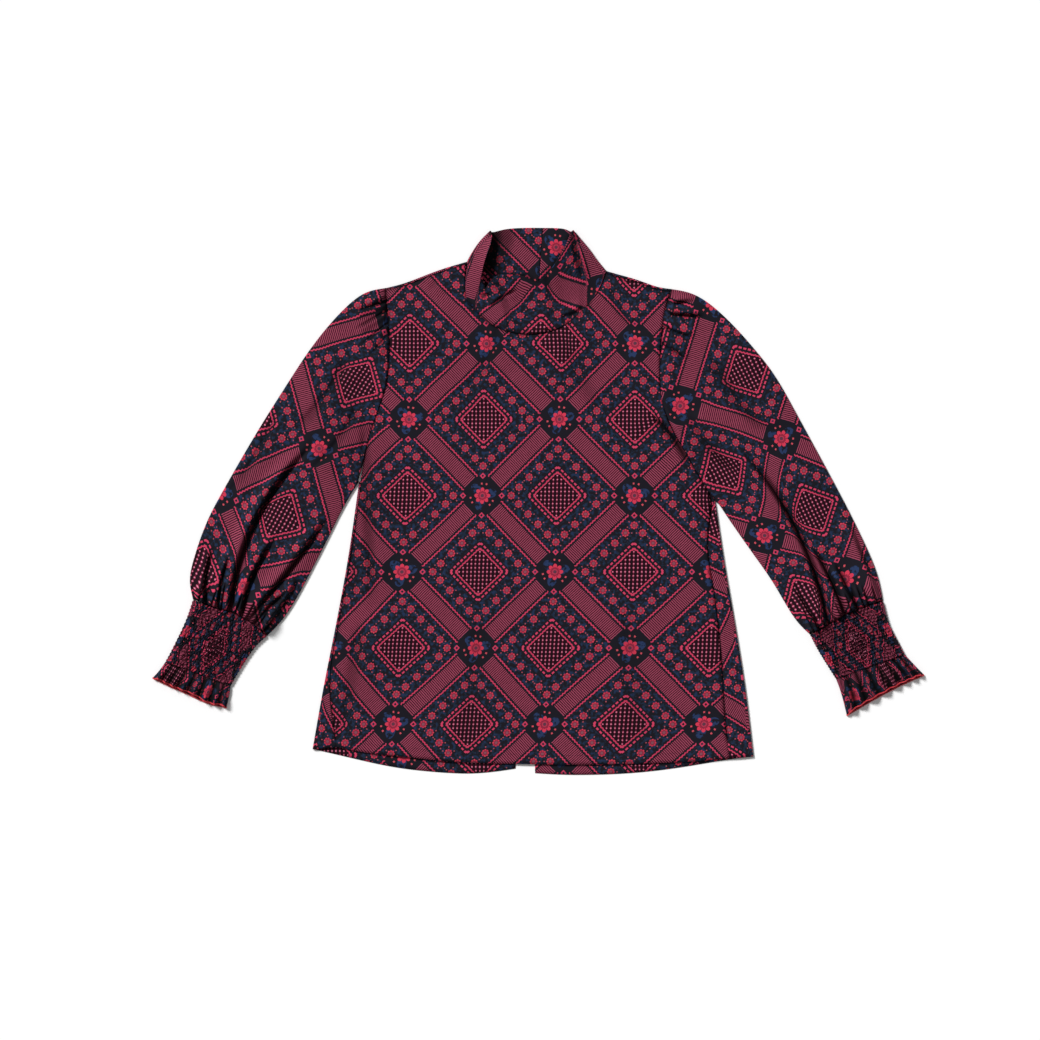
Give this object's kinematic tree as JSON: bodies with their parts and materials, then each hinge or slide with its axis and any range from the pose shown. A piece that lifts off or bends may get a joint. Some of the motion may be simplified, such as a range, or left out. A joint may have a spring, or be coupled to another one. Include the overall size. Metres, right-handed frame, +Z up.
{
  "type": "long-sleeve blouse",
  "caption": "Flat-laid blouse with a funnel collar, gathered bishop sleeves, shirred cuffs and ruffled cuff ends, front side up.",
  "frame": {"origin": "on the surface the garment lies on, under the centre of its outline", "axes": "+Z up from the surface, +Y from the hem towards the neck, +X towards the wearer's left sleeve, which lies on the right of the picture"},
  "size_m": [1.002, 0.7111, 0.0216],
  "materials": {
    "printed_cloth": "smooth woven cloth, printed",
    "shirred_cloth": "the same cloth, shirred",
    "ruffle_cloth": "the same cloth with a red overlocked edge"
  },
  "bodies": {
    "root": {"front": "printed_cloth", "back_left": "printed_cloth", "back_right": "printed_cloth", "collar": "printed_cloth", "sleeve_left": "printed_cloth", "sleeve_right": "printed_cloth", "cuff_left": "shirred_cloth", "cuff_right": "shirred_cloth", "ruffle_left": "ruffle_cloth", "ruffle_right": "ruffle_cloth"}
  },
  "joints": []
}
